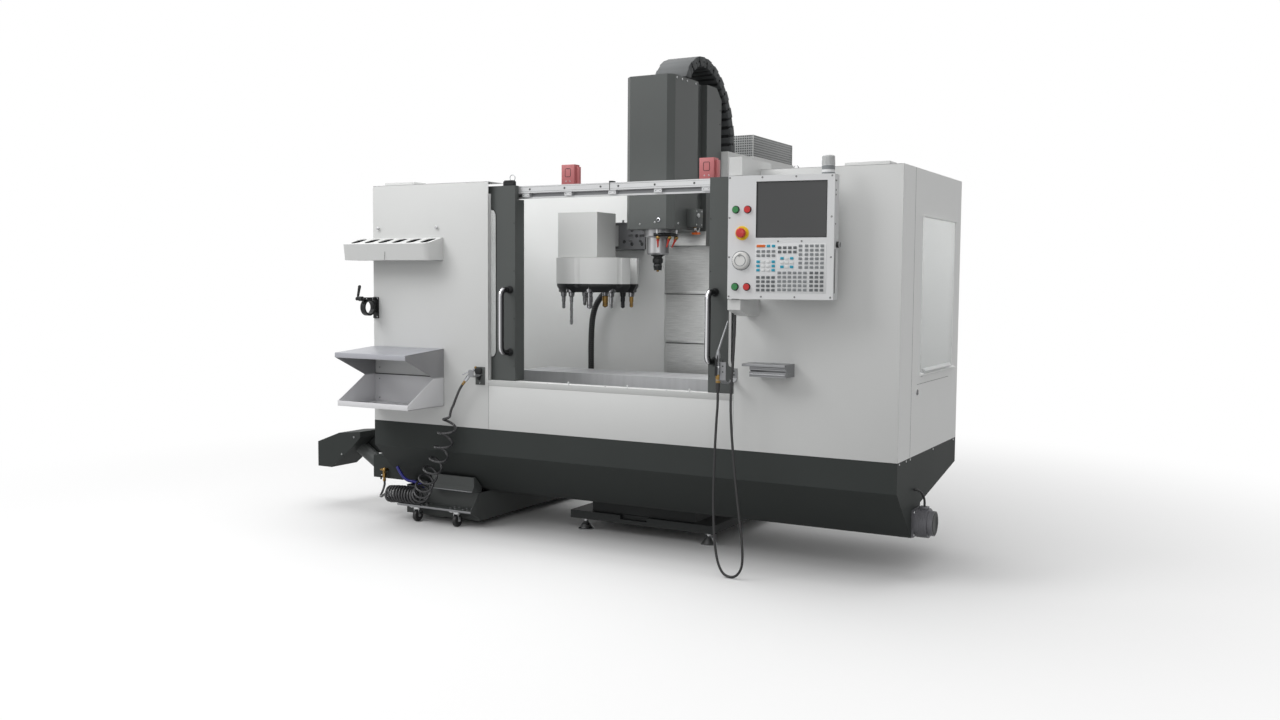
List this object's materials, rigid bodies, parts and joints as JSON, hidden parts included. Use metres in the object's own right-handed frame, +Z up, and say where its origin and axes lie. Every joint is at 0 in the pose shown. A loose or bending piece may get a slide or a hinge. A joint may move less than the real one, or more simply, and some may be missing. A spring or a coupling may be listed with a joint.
{
  "type": "cnc machining center",
  "caption": "Enclosed vertical milling machine with sliding doors, moving table, saddle and head, side tool carousel, chip auger, coolant tank and swivelling control pendant.",
  "frame": {"origin": "on the floor under the middle of the outline, cords left out", "axes": "+X to the right seen from the front, +Y towards the back, +Z up"},
  "size_m": [3.437, 2.181, 2.39],
  "materials": {
    "light_paint": "powder coat",
    "mid_paint": "satin paint",
    "dark_paint": "satin paint",
    "cast_dark": "painted casting",
    "bright_steel": "machined",
    "ground_steel": "ground",
    "sheet_steel": "brushed sheet",
    "black_steel": "black oxide",
    "brass": "machined",
    "black_plastic": "matte",
    "black_rubber": "matte",
    "window": "clear",
    "rail_aluminium": "extruded",
    "red_plastic": "faded moulding",
    "handle_chrome": "polished",
    "pendant_paint": "satin paint",
    "screen_plastic": "glossy",
    "key_plastic": "membrane",
    "red_button": "moulded",
    "green_button": "moulded",
    "white_plastic": "moulded",
    "bin_paint": "satin paint"
  },
  "bodies": {
    "frame": {"base_casting": "cast_dark", "levelling_feet": "bright_steel", "column": "light_paint", "z_cover_bottom": "sheet_steel", "cable_chain": "mid_paint", "changer_bracket": "mid_paint", "conduits": "black_rubber", "front_panels": "light_paint", "enclosure_walls": "light_paint", "side_windows": "window", "chip_pan": "dark_paint", "top_rail": "rail_aluminium", "interlock_boxes": "red_plastic", "auger_motor": "dark_paint", "chip_chute": "dark_paint", "coolant_tank": "dark_paint", "tank_casters": "black_rubber", "control_cabinet": "light_paint", "pendant_arm": "light_paint", "tool_rack": "light_paint", "parts_bin": "bin_paint", "holder_vise": "black_steel", "panel_brackets": "dark_paint", "air_gun": "bright_steel", "wash_gun": "black_plastic", "wash_hose": "black_rubber", "air_hose": "black_rubber", "air_coil": "black_rubber", "air_valve": "brass"},
    "left_door": {"left_door": "mid_paint", "left_door_window": "window", "left_door_handle": "handle_chrome"},
    "right_door": {"right_door": "mid_paint", "right_door_window": "window", "right_door_handle": "handle_chrome"},
    "saddle": {"saddle": "cast_dark"},
    "table": {"table": "ground_steel"},
    "head": {"head_cover": "mid_paint", "spindle_cartridge": "bright_steel", "coolant_manifold": "brass", "z_cover_top": "sheet_steel"},
    "spindle": {"spindle": "black_steel"},
    "z_cover_mid": {"z_cover_mid": "sheet_steel"},
    "changer": {"changer_slide": "light_paint"},
    "carousel": {"carousel": "light_paint", "pocket_forks": "black_plastic", "carousel_tools": "bright_steel"},
    "pendant": {"pendant_housing": "pendant_paint", "pendant_screen": "screen_plastic", "keypad": "key_plastic"},
    "e_stop": {"e_stop": "red_button"},
    "jog_knob": {"jog_knob": "white_plastic"},
    "power_on_button": {"power_on_button": "green_button"},
    "power_off_button": {"power_off_button": "red_button"},
    "cycle_start_button": {"cycle_start_button": "green_button"},
    "feed_hold_button": {"feed_hold_button": "red_button"},
    "auger": {"auger_screw": "ground_steel"},
    "vise_lever": {"vise_lever": "black_steel"},
    "air_trigger": {"air_trigger": "bright_steel"},
    "wash_trigger": {"wash_trigger": "bright_steel"}
  },
  "joints": [
    {"name": "left_door_slide", "type": "slide", "parent": "frame", "child": "left_door", "axis": [1, 0, 0], "range_m": [0, 0.516]},
    {"name": "right_door_slide", "type": "slide", "parent": "frame", "child": "right_door", "axis": [-1, 0, 0], "range_m": [0, 0.516]},
    {"name": "saddle_y", "type": "slide", "parent": "frame", "child": "saddle", "axis": [0, 1, 0], "range_m": [-0.203, 0.203]},
    {"name": "table_x", "type": "slide", "parent": "saddle", "child": "table", "axis": [1, 0, 0], "range_m": [-0.508, 0.508]},
    {"name": "head_z", "type": "slide", "parent": "frame", "child": "head", "axis": [0, 0, 1], "range_m": [-0.49, 0], "deforming": ["cable_chain"]},
    {"name": "spindle_spin", "type": "hinge", "parent": "head", "child": "spindle", "pos_m": [0.2465, -0.2795, 1.391], "axis": [0, 0, 1], "continuous": true},
    {"name": "cover_mid_slide", "type": "slide", "parent": "frame", "child": "z_cover_mid", "axis": [0, 0, 1], "range_m": [-0.245, 0]},
    {"name": "changer_shuttle", "type": "slide", "parent": "frame", "child": "changer", "axis": [1, 0, 0], "range_m": [0, 0.174]},
    {"name": "carousel_spin", "type": "hinge", "parent": "changer", "child": "carousel", "pos_m": [-0.1015, -0.2795, 1.315], "axis": [0, 0, 1], "continuous": true},
    {"name": "pendant_swivel", "type": "hinge", "parent": "frame", "child": "pendant", "pos_m": [0.9835, -0.9645, 1.447], "axis": [0, 0, 1], "range_deg": [-80, 8]},
    {"name": "e_stop_press", "type": "slide", "parent": "pendant", "child": "e_stop", "axis": [-0.1323, 0.9912, 0], "range_m": [0, 0.004], "stiffness_N_per_m": 2500},
    {"name": "jog_spin", "type": "hinge", "parent": "pendant", "child": "jog_knob", "pos_m": [1.02216, -1.00474, 1.353], "axis": [0.1323, -0.9912, 0], "continuous": true},
    {"name": "power_on_press", "type": "slide", "parent": "pendant", "child": "power_on_button", "axis": [-0.1323, 0.9912, 0], "range_m": [0, 0.004], "stiffness_N_per_m": 1500},
    {"name": "power_off_press", "type": "slide", "parent": "pendant", "child": "power_off_button", "axis": [-0.1323, 0.9912, 0], "range_m": [0, 0.004], "stiffness_N_per_m": 1500},
    {"name": "cycle_start_press", "type": "slide", "parent": "pendant", "child": "cycle_start_button", "axis": [-0.1323, 0.9912, 0], "range_m": [0, 0.004], "stiffness_N_per_m": 1500},
    {"name": "feed_hold_press", "type": "slide", "parent": "pendant", "child": "feed_hold_button", "axis": [-0.1323, 0.9912, 0], "range_m": [0, 0.004], "stiffness_N_per_m": 1500},
    {"name": "auger_spin", "type": "hinge", "parent": "frame", "child": "auger", "pos_m": [0.2465, -0.5195, 0.248], "axis": [1, 0, 0], "continuous": true},
    {"name": "vise_lever_turn", "type": "hinge", "parent": "frame", "child": "vise_lever", "pos_m": [-1.1435, -0.9115, 1.166], "axis": [1, 0, 0], "range_deg": [0, 80]},
    {"name": "air_trigger_squeeze", "type": "hinge", "parent": "frame", "child": "air_trigger", "pos_m": [-0.47597, -0.8595, 0.82467], "axis": [0, -1, 0], "range_deg": [0, 12], "stiffness_Nm_per_rad": 0.8},
    {"name": "wash_trigger_squeeze", "type": "hinge", "parent": "frame", "child": "wash_trigger", "pos_m": [0.8817, -0.9305, 0.948], "axis": [1, 0, 0], "range_deg": [0, 6], "stiffness_Nm_per_rad": 1.5}
  ],
  "couplings": [
    {"joint": "cover_mid_slide", "follows": "head_z", "ratio": 0.5}
  ]
}
